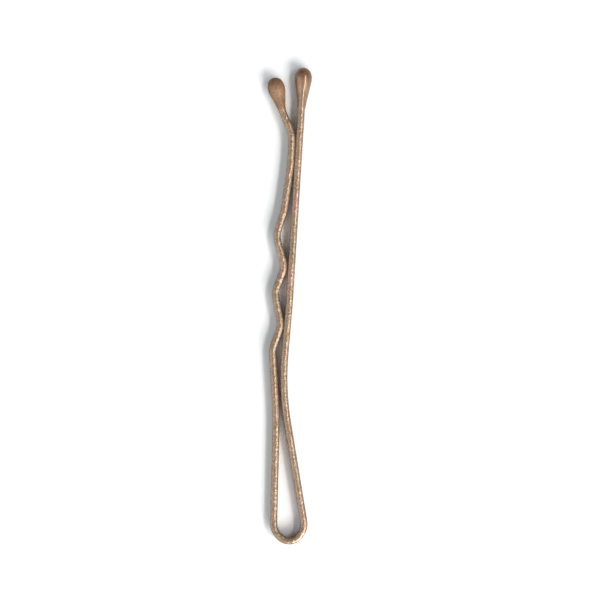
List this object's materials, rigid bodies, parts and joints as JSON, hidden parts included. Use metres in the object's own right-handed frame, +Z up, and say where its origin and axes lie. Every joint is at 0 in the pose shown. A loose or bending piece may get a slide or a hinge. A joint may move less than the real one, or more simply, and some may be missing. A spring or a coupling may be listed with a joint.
{
  "type": "bobby pin",
  "caption": "Flat spring-wire bobby pin with a round bow, a straight leg, a crimped leg that presses on it and dipped drop tips, opening at the bow.",
  "frame": {"origin": "centre of the pin's outline seen from above, at the height of the underside of the drops", "axes": "the pin lies on its side: +X from the crimped leg across to the straight leg, +Y from the bow to the free ends, +Z up from the table, along the wire's width"},
  "size_m": [0.0048, 0.051, 0.0018],
  "materials": {
    "wire": "bronze-brown sparkling lacquer, semi gloss",
    "drop": "bronze-brown dipped lacquer, semi gloss"
  },
  "bodies": {
    "bow": {"bow": "wire"},
    "straight_leg": {"straight_leg": "wire", "straight_tip": "drop"},
    "crimped_leg": {"crimped_leg": "wire", "crimped_tip": "drop"}
  },
  "joints": [
    {"name": "straight_flex", "type": "hinge", "parent": "bow", "child": "straight_leg", "pos_m": [0.00059, -0.01747, 0.00093], "axis": [0, 0, -1], "range_deg": [0, 8], "stiffness_Nm_per_rad": 0.33, "springref_deg": -2.01},
    {"name": "crimped_flex", "type": "hinge", "parent": "bow", "child": "crimped_leg", "pos_m": [-0.00158, -0.01747, 0.00093], "axis": [0, 0, 1], "range_deg": [0, 8], "stiffness_Nm_per_rad": 0.33, "springref_deg": -2.01}
  ],
  "couplings": [
    {"joint": "crimped_flex", "follows": "straight_flex", "ratio": 1}
  ]
}
